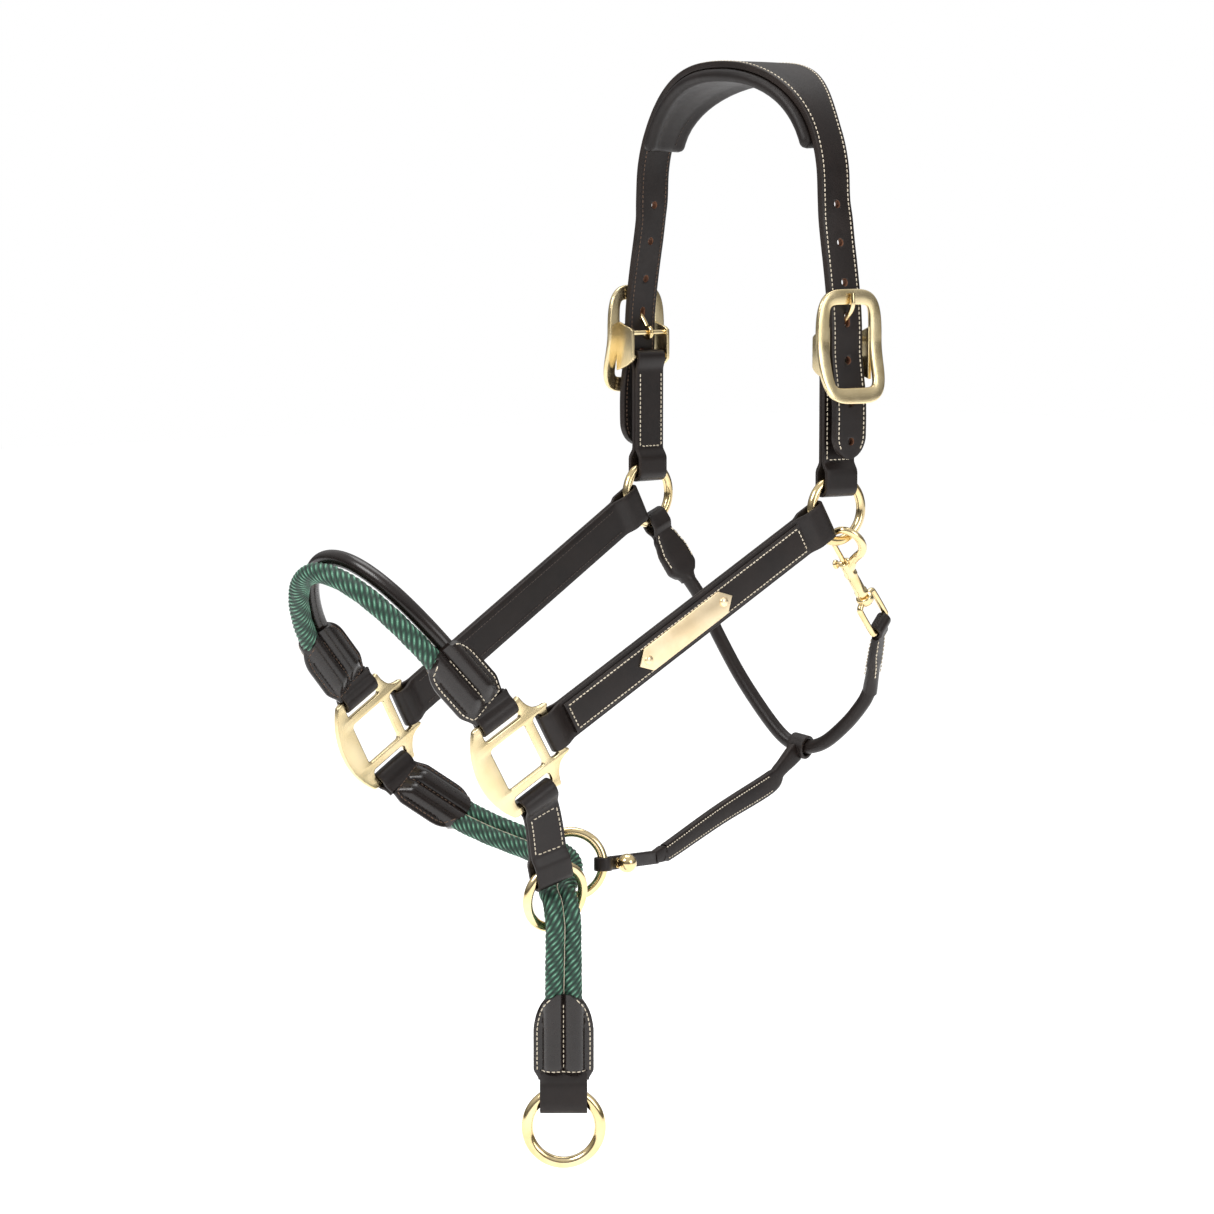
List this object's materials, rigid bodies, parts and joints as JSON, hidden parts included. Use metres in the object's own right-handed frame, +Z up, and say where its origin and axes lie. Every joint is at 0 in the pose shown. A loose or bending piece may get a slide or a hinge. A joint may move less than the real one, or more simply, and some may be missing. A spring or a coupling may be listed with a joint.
{
  "type": "leather headcollar",
  "caption": "Leather control headcollar: padded headpiece, buckled cheeks, square fittings, rope and rolled noseband, throat strap with snap, and a hanging rope lead end with ring.",
  "frame": {"origin": "underside of the poll pad at the middle of the crown, where the horse's poll carries the headcollar", "axes": "+Z up, +X from the noseband back towards the neck, +Y from the near (left) side to the off (right) side"},
  "size_m": [0.4149, 0.2274, 0.6812],
  "materials": {
    "dark_leather": "waxed dark brown bridle leather",
    "rolled_leather": "rolled dark brown leather, slightly glossy",
    "pad_leather": "soft dark lining leather",
    "green_rope": "braided green cord",
    "satin_brass": "satin pale brass",
    "polished_brass": "polished pale brass",
    "spring_steel": "bright drawn wire"
  },
  "bodies": {
    "harness": {"back_billet": "dark_leather", "back_strap": "dark_leather", "ball_stud": "satin_brass", "control_rope_a": "green_rope", "control_rope_b": "green_rope", "headpiece_strap": "dark_leather", "lower_plate_rivet": "polished_brass", "name_plate": "polished_brass", "near_buckle_frame": "satin_brass", "near_chape": "dark_leather", "near_cheek_overlay": "dark_leather", "near_cheek_strap": "dark_leather", "near_chin_strap": "dark_leather", "near_nose_tab": "dark_leather", "near_square": "satin_brass", "near_throat_tab": "dark_leather", "nose_roll": "rolled_leather", "nose_rope": "green_rope", "off_buckle_frame": "satin_brass", "off_chape": "dark_leather", "off_cheek_overlay": "dark_leather", "off_cheek_strap": "dark_leather", "off_chin_tab": "dark_leather", "off_nose_tab": "dark_leather", "off_square": "satin_brass", "off_throat_tab": "dark_leather", "poll_pad": "pad_leather", "snap_eye": "satin_brass", "stud_base": "satin_brass", "throat_roll": "rolled_leather", "upper_plate_rivet": "polished_brass"},
    "near_tongue": {"near_buckle_tongue": "satin_brass"},
    "off_tongue": {"off_buckle_tongue": "satin_brass"},
    "near_ring": {"near_ring": "satin_brass"},
    "off_ring": {"off_ring": "satin_brass"},
    "chin_ring": {"chin_ring": "satin_brass"},
    "back_ring": {"back_ring": "satin_brass"},
    "snap_body": {"snap_hook": "satin_brass", "snap_spring": "spring_steel"},
    "snap_bolt": {"snap_bolt": "satin_brass"},
    "lead_drop": {"lead_rope_a": "green_rope", "lead_rope_b": "green_rope", "lead_end_leather": "dark_leather"},
    "lead_ring": {"lead_ring": "satin_brass"}
  },
  "joints": [
    {"name": "near_tongue_lift", "type": "hinge", "parent": "harness", "child": "near_tongue", "pos_m": [-0.006, -0.092, -0.165], "axis": [0.9965, -0.0837, 0], "range_deg": [0, 3]},
    {"name": "off_tongue_lift", "type": "hinge", "parent": "harness", "child": "off_tongue", "pos_m": [-0.006, 0.092, -0.165], "axis": [-0.9965, -0.0837, 0], "range_deg": [0, 3]},
    {"name": "near_ring_turn", "type": "hinge", "parent": "harness", "child": "near_ring", "pos_m": [-0.006, -0.092, -0.273], "axis": [-0.0837, -0.9965, 0], "continuous": true},
    {"name": "off_ring_turn", "type": "hinge", "parent": "harness", "child": "off_ring", "pos_m": [-0.006, 0.092, -0.273], "axis": [-0.0837, 0.9965, 0], "continuous": true},
    {"name": "chin_ring_turn", "type": "hinge", "parent": "harness", "child": "chin_ring", "pos_m": [-0.214, -0.064, -0.501], "axis": [-0.0974, -0.9798, -0.1747], "continuous": true},
    {"name": "back_ring_turn", "type": "hinge", "parent": "harness", "child": "back_ring", "pos_m": [-0.186, -0.045, -0.487], "axis": [-0.6409, -0.7611, 0.1001], "continuous": true},
    {"name": "snap_swivel", "type": "hinge", "parent": "harness", "child": "snap_body", "pos_m": [0.00862, -0.08256, -0.30601], "axis": [0.6572, 0.106, -0.7462], "range_deg": [-4, 2]},
    {"name": "snap_bolt_slide", "type": "slide", "parent": "snap_body", "child": "snap_bolt", "axis": [0.6572, 0.106, -0.7462], "range_m": [0, 0.007], "stiffness_N_per_m": 150, "springref_m": -0.004, "deforming": ["snap_spring"]},
    {"name": "lead_swing", "type": "hinge", "parent": "harness", "child": "lead_drop", "pos_m": [-0.2137, -0.0715, -0.522], "axis": [0.9572, -0.2894, 0], "range_deg": [-25, 25], "deforming": ["lead_rope_a", "lead_rope_b"]},
    {"name": "lead_ring_swing", "type": "hinge", "parent": "lead_drop", "child": "lead_ring", "pos_m": [-0.2137, -0.0715, -0.6211], "axis": [0.766, -0.6428, 0], "range_deg": [-8, 8]}
  ]
}
